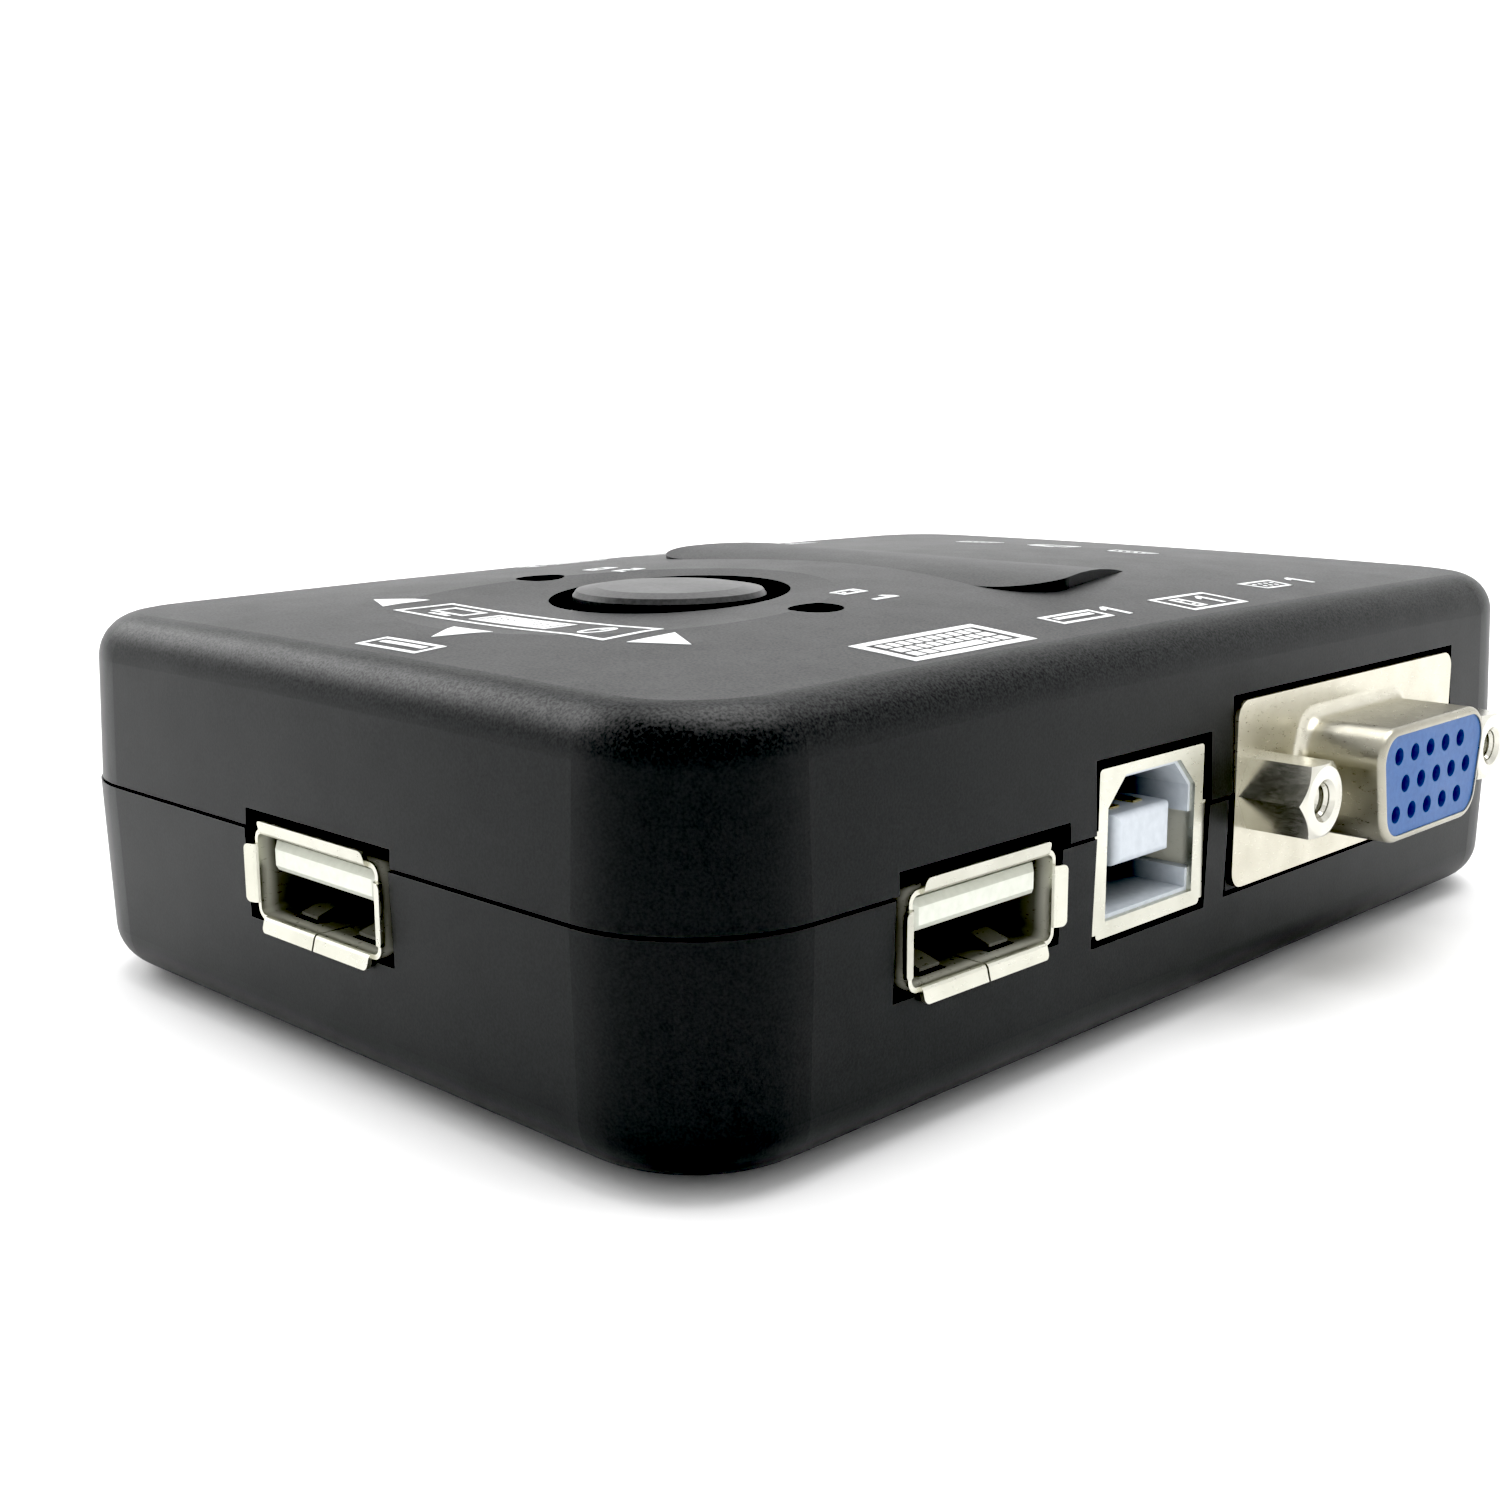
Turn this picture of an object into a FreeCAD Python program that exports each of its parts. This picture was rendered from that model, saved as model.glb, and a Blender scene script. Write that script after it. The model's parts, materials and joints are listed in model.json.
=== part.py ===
import FreeCAD, Part
import math
import os

import Sketcher
from FreeCAD import Placement, Rotation, Vector

# Two-port VGA and USB keyboard/video/mouse switch.
# Row frame: +Z up, +Y towards the monitor socket, +X towards the first computer's sockets.
# The origin is under the middle of the whole object, on the surface that the feet stand on.
# Each socket is drawn in its own frame: +X out of the case wall, +Z up, origin on the wall.

doc = FreeCAD.newDocument("kvm_switch")
sheet = doc.addObject("Spreadsheet::Sheet", "Dims")

DIMENSIONS = {
    # case
    "case_width": 65.0,
    "case_length": 94.0,
    "case_corner": 8.7,
    "case_shift": -2.915,
    "foot_gap": 0.8,
    "parting": 14.1,
    "lower_draft": 1.7,
    "upper_draft": 2.2,
    "bottom_round": 3.0,
    "top_round": 3.0,
    "wall": 2.0,
    "floor_thick": 1.8,
    "rim_step": 0.12,
    "seam_height": 0.14,
    "seam_depth": 0.5,
    "ceiling": 23.4,
    # crowned top
    "crown_edge": 25.3,
    "crown_rise": 2.0,
    "crown_half_width": 33.0,
    "crown_half_length": 47.5,
    "platform_top": 27.5,
    "platform_corner": 4.0,
    "platform_front_across": 14.95,
    "platform_front_along": 1.1,
    "platform_rear_across": 10.2,
    "platform_rear_along": 18.0,
    "platform_barrel": 50.0,
    "platform_crest": 4.75,
    "dish_radius": 265.0,
    "dish_along": -32.3,
    "dish_floor": 26.03,
    "dome_ceiling": 24.6,
    "dome_width": 36.0,
    "dome_length": 64.0,
    # screws, feet, board
    "corner_across": 24.0,
    "corner_along": 37.5,
    "foot_radius": 4.5,
    "foot_seat": 0.5,
    "post_radius": 4.0,
    "boss_radius": 2.9,
    "screw_radius": 1.3,
    "screw_head_radius": 2.6,
    "screw_head": 1.6,
    "screw_top": 15.0,
    "screw_clearance": 1.7,
    "board_top": 7.6,
    "board_thick": 1.6,
    "board_width": 58.0,
    "board_length": 88.0,
    "board_corner": 4.0,
    # select button and its switch
    "button_along": -17.8,
    "button_hole": 8.25,
    "button_radius": 6.65,
    "button_top": 27.25,
    "button_dome": 0.35,
    "button_skirt": 7.6,
    "button_flange": 9.2,
    "button_flange_top": 24.45,
    "button_stem": 1.9,
    "switch_half": 3.0,
    "switch_top": 11.3,
    "plunger_radius": 1.7,
    "plunger_top": 12.4,
    "plunger_travel": 0.9,
    "indicator_across": 13.76,
    "indicator_along": -18.0,
    "indicator_hole": 1.79,
    "indicator_radius": 1.5,
    "indicator_tip": 26.0,
    "indicator_flange": 1.9,
    # VGA socket
    "vga_along": 17.17,
    "vga_flange_width": 30.8,
    "vga_flange_height": 12.5,
    "vga_flange_corner": 1.2,
    "vga_flange_thick": 0.5,
    "vga_half_top": 8.15,
    "vga_side_angle": 10.0,
    "vga_half_height": 3.95,
    "vga_reach": 6.18,
    "vga_skin": 0.5,
    "vga_corner": 2.2,
    "jack_spacing": 24.99,
    "jack_flats": 4.75,
    "jack_reach": 4.75,
    "jack_bore": 1.13,
    "jack_bore_depth": 4.2,
    "jack_shank": 1.4,
    # USB sockets
    "usb_a_side_along": -24.35,
    "usb_a_side_drop": 2.65,
    "usb_a_front_across": 0.45,
    "usb_a_front_drop": 2.68,
    "usb_a_width": 12.5,
    "usb_a_height": 5.12,
    "usb_a_depth": 14.0,
    "usb_a_skin": 0.3,
    "usb_a_tongue_gap": 0.5,
    "usb_a_tongue_half": 5.55,
    "lip_reach": 0.35,
    "lip_run": 0.45,
    "lip_rise": 0.95,
    "lip_edge": 0.28,
    "usb_b_along": -7.5,
    "usb_b_drop": 1.21,
    "usb_b_width": 12.2,
    "usb_b_height": 10.5,
    "usb_b_depth": 15.0,
    "usb_b_recess": 0.3,
    "usb_b_skin": 0.35,
    "usb_b_mouth_width": 9.6,
    "usb_b_mouth_height": 8.8,
    "usb_b_mouth_rise": 0.17,
    "usb_b_mouth_chamfer": 1.8,
    "usb_b_core_half": 3.0,
    "usb_b_core_gap": 0.2,
}

for row, (alias, number) in enumerate(DIMENSIONS.items(), start=1):
    sheet.set(f"A{row}", alias)
    sheet.set(f"B{row}", str(number))
    sheet.setAlias(f"B{row}", alias)
doc.recompute()

SUBPARTS = []


def formula(text):
    """Spell a formula of dimension names for an object outside the sheet."""
    words = sorted(DIMENSIONS, key=len, reverse=True)
    spelled = ""
    position = 0
    while position < len(text):
        word = next((w for w in words if text.startswith(w, position)), None)
        if word is None:
            spelled += text[position]
            position += 1
        else:
            spelled += "Dims." + word
            position += len(word)
    return spelled


def value(text):
    return float(sheet.evalExpression(formula(text)))


def bind(item, prop, text):
    item.setExpression(prop, formula(text))


def keep(item, label, x="0", y="0", z="0", turn=0.0):
    """Name a finished sub-part and seat it in the row frame; y is counted from the case's middle."""
    item.Label = label
    item.Placement = Placement(Vector(value(x), value(y), value(z)), Rotation(Vector(0, 0, 1), turn))
    bind(item, "Placement.Base.x", x)
    bind(item, "Placement.Base.y", f"{y} + case_shift")
    bind(item, "Placement.Base.z", z)
    SUBPARTS.append(item)


# ---------------------------------------------------------------- sketch and feature helpers


def new_sketch(body, name, plane, offset="0"):
    sketch = body.newObject("Sketcher::SketchObject", f"{body.Name}_{name}")
    face = next(item for item in body.Origin.OriginFeatures if item.Role == plane)
    sketch.AttachmentSupport = [(face, "")]
    sketch.MapMode = "FlatFace"
    bind(sketch, "AttachmentOffset.Base.z", offset)
    return sketch


def pin_point(sketch, geometry, point, x, y):
    """Hold a sketch point at formula distances from the sketch's origin."""
    for kind, text in (("DistanceX", x), ("DistanceY", y)):
        index = sketch.addConstraint(Sketcher.Constraint(kind, -1, 1, geometry, point, value(text)))
        name = f"{kind}_{geometry}_{point}"
        sketch.renameConstraint(index, name)
        bind(sketch, f"Constraints.{name}", text)


def polygon(sketch, corners):
    """Closed straight-sided outline through corners given as pairs of formulas."""
    places = [Vector(value(x), value(y), 0) for x, y in corners]
    first = sketch.GeometryCount
    count = len(corners)
    for i in range(count):
        sketch.addGeometry(Part.LineSegment(places[i], places[(i + 1) % count]), False)
    for i in range(count):
        after = (i + 1) % count
        sketch.addConstraint(Sketcher.Constraint("Coincident", first + i, 2, first + after, 1))
    for i, (x, y) in enumerate(corners):
        pin_point(sketch, first + i, 1, x, y)
    return sketch


def rectangle(sketch, low_x, low_y, high_x, high_y):
    return polygon(sketch, [(low_x, low_y), (high_x, low_y), (high_x, high_y), (low_x, high_y)])


def tangent_outline(sketch, centres, radius):
    """Outline of equal corner arcs, anticlockwise, joined by the lines tangent to them."""
    size = value(radius)
    count = len(centres)
    places = [Vector(value(x), value(y), 0) for x, y in centres]
    normals = []
    for i in range(count):
        along = (places[(i + 1) % count] - places[i]).normalize()
        normals.append(Vector(along.y, -along.x, 0))
    for i in range(count):
        start = math.atan2(normals[i - 1].y, normals[i - 1].x)
        end = math.atan2(normals[i].y, normals[i].x)
        circle = Part.Circle(places[i], Vector(0, 0, 1), size)
        sketch.addGeometry(Part.ArcOfCircle(circle, start, end + 2 * math.pi * (end < start)), False)
    for i in range(count):
        after = (i + 1) % count
        start = places[i] + normals[i] * size
        sketch.addGeometry(Part.LineSegment(start, places[after] + normals[i] * size), False)
    for i, (x, y) in enumerate(centres):
        pin_point(sketch, i, 3, x, y)
        index = sketch.addConstraint(Sketcher.Constraint("Radius", i, size))
        sketch.renameConstraint(index, f"corner_{i}")
        bind(sketch, f"Constraints.corner_{i}", radius)
        sketch.addConstraint(Sketcher.Constraint("Tangent", i, 2, count + i, 1))
        sketch.addConstraint(Sketcher.Constraint("Tangent", count + i, 2, (i + 1) % count, 1))
    return sketch


def rounded_rectangle(sketch, width, length, radius):
    half_x = f"(({width}) / 2 - ({radius}))"
    half_y = f"(({length}) / 2 - ({radius}))"
    centres = [(f"-{half_x}", f"-{half_y}"), (half_x, f"-{half_y}"), (half_x, half_y), (f"-{half_x}", half_y)]
    return tangent_outline(sketch, centres, radius)


def circles(sketch, centres, radius):
    for x, y in centres:
        place = Vector(value(x), value(y), 0)
        index = sketch.addGeometry(Part.Circle(place, Vector(0, 0, 1), value(radius)), False)
        pin_point(sketch, index, 3, x, y)
        hold = sketch.addConstraint(Sketcher.Constraint("Radius", index, value(radius)))
        sketch.renameConstraint(hold, f"radius_{index}")
        bind(sketch, f"Constraints.radius_{index}", radius)
    return sketch


def settle(feature):
    """Recompute, and stop at a feature that failed."""
    doc.recompute()
    if "Invalid" in feature.State or "Error" in feature.State:
        raise RuntimeError(f"{feature.Name} failed")
    return feature


def pad(sketch, length, down=False, draft=None):
    """Pad a sketch along its normal, or against it when down is set."""
    body = sketch.getParentGeoFeatureGroup()
    feature = body.newObject("PartDesign::Pad", sketch.Name + "_pad")
    feature.Profile = sketch
    feature.Reversed = down
    bind(feature, "Length", length)
    if draft is not None:
        bind(feature, "TaperAngle", f"-{draft}")
    return settle(feature)


def pocket(sketch, depth, up=False):
    """Cut a sketch against its normal, or along it when up is set, and prove that it cut."""
    body = sketch.getParentGeoFeatureGroup()
    before = body.Shape.Volume
    feature = body.newObject("PartDesign::Pocket", sketch.Name + "_pocket")
    feature.Profile = sketch
    feature.Reversed = up
    bind(feature, "Length", depth)
    settle(feature)
    if body.Shape.Volume >= before - 1e-6:
        raise RuntimeError(f"{sketch.Name} cuts nothing")
    return feature


def round_edges(body, name, radius, wanted, kind="Fillet"):
    """Fillet or chamfer the edges of the body's tip that the test accepts."""
    tip = body.Tip
    chosen = [f"Edge{i}" for i, edge in enumerate(tip.Shape.Edges, start=1) if wanted(edge)]
    if not chosen:
        raise RuntimeError(f"{body.Name} {name} finds no edge")
    feature = body.newObject(f"PartDesign::{kind}", f"{body.Name}_{name}")
    feature.Base = (tip, chosen)
    bind(feature, "Radius" if kind == "Fillet" else "Size", radius)
    return settle(feature)


def spans(edge, axis):
    box = edge.BoundBox
    return getattr(box, axis + "Min"), getattr(box, axis + "Max")


def flat_at(axis, level, slack=0.02):
    """Accept an edge that lies in the plane where the axis has that level."""
    def wanted(edge):
        low, high = spans(edge, axis)
        return abs(low - level) < slack and abs(high - level) < slack
    return wanted


def runs_along(axis, shortest):
    """Accept a straight edge that only changes along one axis."""
    others = [name for name in "XYZ" if name != axis]

    def wanted(edge):
        still = all(spans(edge, name)[1] - spans(edge, name)[0] < 0.01 for name in others)
        low, high = spans(edge, axis)
        return still and high - low > shortest
    return wanted


def part_box(name, low, high):
    """Part box between two corners given as formulas."""
    item = doc.addObject("Part::Box", name)
    for prop, axis, start, end in zip(("Length", "Width", "Height"), "xyz", low, high):
        bind(item, prop, f"({end}) - ({start})")
        bind(item, f"Placement.Base.{axis}", start)
    return item


def group(name, members):
    item = doc.addObject("Part::Compound", name)
    item.Links = members
    return item


CORNERS = [(f"{sx} * corner_across", f"{sy} * corner_along") for sx in (1, -1) for sy in (1, -1)]

# ---------------------------------------------------------------- where the sockets are

VGA_SOCKETS = {
    "pc1": ("case_width / 2", "vga_along", 0.0),
    "pc2": ("-case_width / 2", "vga_along", 180.0),
    "monitor": ("0", "case_length / 2", 90.0),
}
USB_B_SOCKETS = {
    "pc1": ("case_width / 2", "usb_b_along", 0.0),
    "pc2": ("-case_width / 2", "usb_b_along", 180.0),
}
USB_A_SOCKETS = {
    "keyboard": ("case_width / 2", "usb_a_side_along", "usb_a_side_drop", 0.0),
    "mouse": ("-case_width / 2", "usb_a_side_along", "usb_a_side_drop", 180.0),
    "front": ("usb_a_front_across", "-case_length / 2", "usb_a_front_drop", -90.0),
}


# Gaps between a socket's outline and each half of the case, in the socket's own frame:
# towards -Y, towards +Y, below and above.
PORT_GAPS = {
    "lower": {
        "vga": ("0.65", "0.05", "0.35", "0.35"),
        "usb_b": ("0.2", "0.1", "0.35", "0.6"),
        "usb_a_side": ("1.45", "0.85", "0.49", "1.49"),
        "usb_a_front": ("1.3", "1.45", "0.44", "1.35"),
    },
    "upper": {
        "vga": ("0.05", "0.65", "0.35", "0.35"),
        "usb_b": ("0.05", "0.43", "0.35", "0.6"),
        "usb_a_side": ("1.01", "1.76", "0.49", "1.49"),
        "usb_a_front": ("1.3", "1.45", "0.44", "1.35"),
    },
}
PORT_CUT_INWARD = "5"
PORT_CUT_OUTWARD = "3"


def port_cutter(name, width, height, gaps, x, y, drop, turn):
    """Box that opens the case wall for one socket, in the case's own frame."""
    left, right, below, above = gaps
    cutter = part_box(name, (f"-{PORT_CUT_INWARD}", f"-({width}) / 2 - {left}", f"-({height}) / 2 - {below}"),
                      (PORT_CUT_OUTWARD, f"({width}) / 2 + {right}", f"({height}) / 2 + {above}"))
    carrier = doc.addObject("Part::Compound", name + "_seat")
    carrier.Links = [cutter]
    carrier.Placement = Placement(Vector(0, 0, 0), Rotation(Vector(0, 0, 1), turn))
    bind(carrier, "Placement.Base.x", x)
    bind(carrier, "Placement.Base.y", y)
    bind(carrier, "Placement.Base.z", f"parting - ({drop})")
    return carrier


def make_port_cutters(half):
    gaps = PORT_GAPS[half]
    cutters = []
    for name, (x, y, turn) in VGA_SOCKETS.items():
        cutters.append(port_cutter(f"{half}_vga_{name}", "vga_flange_width", "vga_flange_height",
                                   gaps["vga"], x, y, "0", turn))
    for name, (x, y, turn) in USB_B_SOCKETS.items():
        cutters.append(port_cutter(f"{half}_usb_b_{name}", "usb_b_width", "usb_b_height",
                                   gaps["usb_b"], x, y, "usb_b_drop", turn))
    for name, (x, y, drop, turn) in USB_A_SOCKETS.items():
        kind = "usb_a_front" if name == "front" else "usb_a_side"
        cutters.append(port_cutter(f"{half}_usb_a_{name}", "usb_a_width", "usb_a_height",
                                   gaps[kind], x, y, drop, turn))
    openings = doc.addObject("Part::MultiFuse", f"{half}_openings")
    openings.Shapes = cutters
    return openings


# ---------------------------------------------------------------- case


def make_lower_shell():
    body = doc.addObject("PartDesign::Body", "lower_form")
    outline = new_sketch(body, "outline", "XY_Plane", "parting")
    rounded_rectangle(outline, "case_width", "case_length", "case_corner")
    pad(outline, "parting - foot_gap", down=True, draft="lower_draft")
    round_edges(body, "bottom_round", "bottom_round", flat_at("Z", value("foot_gap")))
    cavity = new_sketch(body, "cavity", "XY_Plane", "parting")
    rounded_rectangle(cavity, "case_width - 2 * wall", "case_length - 2 * wall", "case_corner - wall")
    pocket(cavity, "parting - foot_gap - floor_thick")
    posts = new_sketch(body, "posts", "XY_Plane", "foot_gap + floor_thick - 0.5")
    circles(posts, CORNERS, "post_radius")
    pad(posts, "board_top - board_thick - foot_gap - floor_thick + 0.5")
    seats = new_sketch(body, "foot_seats", "XY_Plane", "foot_gap")
    circles(seats, CORNERS, "foot_radius + 0.1")
    pocket(seats, "foot_seat", up=True)
    heads = new_sketch(body, "screw_heads", "XY_Plane", "foot_gap + foot_seat")
    circles(heads, CORNERS, "screw_head_radius + 0.3")
    pocket(heads, "screw_head + 0.3", up=True)
    shanks = new_sketch(body, "screw_ways", "XY_Plane", "foot_gap + foot_seat")
    circles(shanks, CORNERS, "screw_clearance")
    pocket(shanks, "board_top", up=True)
    shell = doc.addObject("Part::Cut", "lower_shell")
    shell.Base = body
    shell.Tool = make_port_cutters("lower")
    keep(shell, "lower_shell")


def make_crown():
    """Block whose top is flat at the front and back ends and arched across the middle."""
    body = doc.addObject("PartDesign::Body", "crown_form")
    stations = ["crown_half_length", "0", "-crown_half_length"]
    sections = []
    for number, station in enumerate(stations):
        section = new_sketch(body, f"section_{number}", "XZ_Plane", station)
        corners = [("-crown_half_width", "parting - 1"), ("crown_half_width", "parting - 1"),
                   ("crown_half_width", "crown_edge"), ("-crown_half_width", "crown_edge")]
        if station != "0":
            polygon(section, corners)
        else:
            places = [Vector(value(x), value(y), 0) for x, y in corners]
            for start, end in ((0, 1), (1, 2)):
                section.addGeometry(Part.LineSegment(places[start], places[end]), False)
            peak = Vector(0, value("crown_edge + crown_rise"), 0)
            section.addGeometry(Part.Arc(places[2], peak, places[3]), False)
            section.addGeometry(Part.LineSegment(places[3], places[0]), False)
            for index in range(4):
                after = (index + 1) % 4
                link = Sketcher.Constraint("Coincident", index, 2, after, 1)
                section.addConstraint(link)
            for index, corner in ((0, 0), (1, 1), (3, 3)):
                pin_point(section, index, 1, *corners[corner])
            pin_point(section, 1, 2, *corners[2])
            arc_centre = ("crown_edge + crown_rise - (crown_half_width * crown_half_width"
                          " + crown_rise * crown_rise) / (2 * crown_rise)")
            level = section.addConstraint(Sketcher.Constraint("DistanceY", -1, 1, 2, 3, value(arc_centre)))
            section.renameConstraint(level, "arc_centre")
            bind(section, "Constraints.arc_centre", arc_centre)
        sections.append(section)
    loft = body.newObject("PartDesign::AdditiveLoft", "crown_loft")
    loft.Profile = sections[0]
    loft.Sections = sections[1:]
    doc.recompute()
    return body


def make_platform():
    """Raised platform, narrower at the rear, whose top is a barrel that lies from side to side."""
    form = doc.addObject("PartDesign::Body", "platform_form")
    outline = new_sketch(form, "outline", "XY_Plane", "dome_ceiling + 0.1")
    centres = [("-platform_front_across", "platform_front_along"),
               ("platform_front_across", "platform_front_along"),
               ("platform_rear_across", "platform_rear_along"),
               ("-platform_rear_across", "platform_rear_along")]
    tangent_outline(outline, centres, "platform_corner")
    pad(outline, "5")
    barrel = doc.addObject("Part::Cylinder", "platform_barrel_form")
    barrel.Placement = Placement(Vector(0, 0, 0), Rotation(Vector(0, 1, 0), 90))
    half_length = "(platform_front_across + platform_corner + 1)"
    bind(barrel, "Radius", "platform_barrel")
    bind(barrel, "Height", f"2 * {half_length}")
    bind(barrel, "Placement.Base.x", f"-{half_length}")
    bind(barrel, "Placement.Base.y", "platform_crest")
    bind(barrel, "Placement.Base.z", "platform_top - platform_barrel")
    platform = doc.addObject("Part::Common", "platform")
    platform.Base = form
    platform.Tool = barrel
    return platform


def sink_dish(body):
    """Cut the shallow round dish in which the button stands."""
    ball = doc.addObject("Part::Sphere", "dish_ball")
    bind(ball, "Radius", "dish_radius")
    bind(ball, "Placement.Base.y", "dish_along")
    bind(ball, "Placement.Base.z", "dish_floor + dish_radius")
    dished = doc.addObject("Part::Cut", "upper_dished")
    dished.Base = body
    dished.Tool = ball
    return dished


def make_upper_shell():
    outer = doc.addObject("PartDesign::Body", "upper_outline")
    outline = new_sketch(outer, "outline", "XY_Plane", "parting + seam_height")
    rounded_rectangle(outline, "case_width - 2 * rim_step", "case_length - 2 * rim_step",
                      "case_corner - rim_step")
    pad(outline, "14", draft="upper_draft")
    crowned = doc.addObject("Part::Common", "crowned_block")
    crowned.Base = outer
    crowned.Tool = make_crown()
    doc.recompute()

    body = doc.addObject("PartDesign::Body", "upper_form")
    body.BaseFeature = crowned
    doc.recompute()
    top_level = value("crown_edge") - 1.0
    round_edges(body, "top_round", "top_round", lambda edge: spans(edge, "Z")[0] > top_level)

    rim = new_sketch(body, "rim", "XY_Plane", "parting")
    rim_inset = "2 * (rim_step + seam_depth)"
    rounded_rectangle(rim, f"case_width - {rim_inset}", f"case_length - {rim_inset}",
                      "case_corner - rim_step - seam_depth")
    pad(rim, "seam_height + 1")
    cavity = new_sketch(body, "cavity", "XY_Plane", "parting")
    rounded_rectangle(cavity, "case_width - 2 * wall", "case_length - 2 * wall", "case_corner - wall")
    pocket(cavity, "ceiling - parting", up=True)
    dome = new_sketch(body, "dome", "XY_Plane", "ceiling - 0.5")
    rounded_rectangle(dome, "dome_width", "dome_length", "case_corner - wall")
    pocket(dome, "dome_ceiling - ceiling + 0.5", up=True)
    bosses = new_sketch(body, "bosses", "XY_Plane", "board_top")
    circles(bosses, CORNERS, "boss_radius")
    pad(bosses, "ceiling - board_top + 0.2")
    pilots = new_sketch(body, "pilots", "XY_Plane", "board_top")
    circles(pilots, CORNERS, "screw_radius + 0.03")
    pocket(pilots, "screw_top - board_top + 1", up=True)

    raised = doc.addObject("Part::Fuse", "upper_raised")
    raised.Base = sink_dish(body)
    raised.Tool = make_platform()
    ways = []
    holes = [("0", "button_along", "button_hole"),
             ("indicator_across", "indicator_along", "indicator_hole"),
             ("-indicator_across", "indicator_along", "indicator_hole")]
    for number, (x, y, radius) in enumerate(holes):
        way = doc.addObject("Part::Cylinder", f"top_hole_{number}")
        bind(way, "Radius", radius)
        bind(way, "Height", "10")
        bind(way, "Placement.Base.x", x)
        bind(way, "Placement.Base.y", y)
        bind(way, "Placement.Base.z", "ceiling - 1")
        ways.append(way)
    openings = doc.addObject("Part::MultiFuse", "upper_ways")
    openings.Shapes = [make_port_cutters("upper")] + ways
    shell = doc.addObject("Part::Cut", "upper_shell")
    shell.Base = raised
    shell.Tool = openings
    keep(shell, "upper_shell")


def make_foot(label, x, y):
    body = doc.addObject("PartDesign::Body", label)
    disc = circles(new_sketch(body, "disc", "XY_Plane"), [("0", "0")], "foot_radius")
    pad(disc, "foot_gap + foot_seat")
    round_edges(body, "tread_round", "0.3", flat_at("Z", 0.0))
    keep(body, label, x, y)


def make_case_screws():
    screws = []
    for number, (x, y) in enumerate(CORNERS):
        body = doc.addObject("PartDesign::Body", f"case_screw_{number}")
        head = new_sketch(body, "head", "XY_Plane", "foot_gap + foot_seat")
        circles(head, [("0", "0")], "screw_head_radius")
        pad(head, "screw_head + 0.3")
        shank = new_sketch(body, "shank", "XY_Plane", "foot_gap + foot_seat + screw_head")
        circles(shank, [("0", "0")], "screw_radius")
        pad(shank, "screw_top - foot_gap - foot_seat - screw_head")
        for angle in (0, 1):
            slot = new_sketch(body, f"slot_{angle}", "XY_Plane", "foot_gap + foot_seat")
            wide, narrow = ("1.5", "0.25") if angle == 0 else ("0.25", "1.5")
            rectangle(slot, f"-{wide}", f"-{narrow}", wide, narrow)
            pocket(slot, "0.9", up=True)
        bind(body, "Placement.Base.x", x)
        bind(body, "Placement.Base.y", y)
        screws.append(body)
    keep(group("case_screw_set", screws), "case_screws")


# ---------------------------------------------------------------- board and what stands on it


def make_board():
    body = doc.addObject("PartDesign::Body", "main_board")
    outline = new_sketch(body, "outline", "XY_Plane", "board_top")
    rounded_rectangle(outline, "board_width", "board_length", "board_corner")
    pad(outline, "board_thick", down=True)
    holes = new_sketch(body, "holes", "XY_Plane", "board_top")
    circles(holes, CORNERS, "screw_clearance")
    pocket(holes, "board_thick")
    keep(body, "main_board")


def make_chip(label, x, y, half_x, half_y, thick):
    """Flat package with a bevelled top edge, flat on the board."""
    body = doc.addObject("PartDesign::Body", label)
    base = new_sketch(body, "base", "XY_Plane", "board_top")
    rectangle(base, f"-{half_x}", f"-{half_y}", half_x, half_y)
    pad(base, thick)
    top = value("board_top") + float(thick)
    round_edges(body, "bevel", "0.25", flat_at("Z", top), kind="Chamfer")
    keep(body, label, x, y)


def make_capacitor():
    body = doc.addObject("PartDesign::Body", "buffer_capacitor")
    can = circles(new_sketch(body, "can", "XY_Plane", "board_top"), [("0", "0")], "2.5")
    pad(can, "7")
    round_edges(body, "can_round", "0.5", flat_at("Z", value("board_top") + 7.0))
    keep(body, "buffer_capacitor", "-9", "-34")


def revolve(body, name, outline):
    """Turn an outline of (radius, height) pairs about the body's vertical axis."""
    profile = new_sketch(body, name, "XZ_Plane")
    polygon(profile, outline)
    turned = body.newObject("PartDesign::Revolution", f"{body.Name}_{name}_turn")
    turned.Profile = profile
    turned.ReferenceAxis = (profile, ["V_Axis"])
    turned.Angle = 360
    return settle(turned)


def make_button():
    """Cap with a retaining flange under the case's top, a hollow skirt and a central stem."""
    body = doc.addObject("PartDesign::Body", "select_button")
    shoulder = "button_flange_top"
    base = "button_flange_top - 1"
    revolve(body, "profile", [
        ("0", "plunger_top"), ("button_stem", "plunger_top"), ("button_stem", "button_top - 2.2"),
        ("button_radius - 1.3", "button_top - 2.2"), ("button_radius - 1.3", base),
        ("button_flange", base), ("button_flange", shoulder), ("button_skirt", shoulder),
        ("button_skirt", f"{shoulder} + 0.7"), ("button_radius", f"{shoulder} + 0.7"),
        ("button_radius", "button_top - 0.7"), ("button_radius - 0.25", "button_top - 0.35"),
        ("button_radius * 0.75", "button_top - 0.12"), ("0", "button_top")])
    keep(body, "select_button", "0", "button_along")


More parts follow.
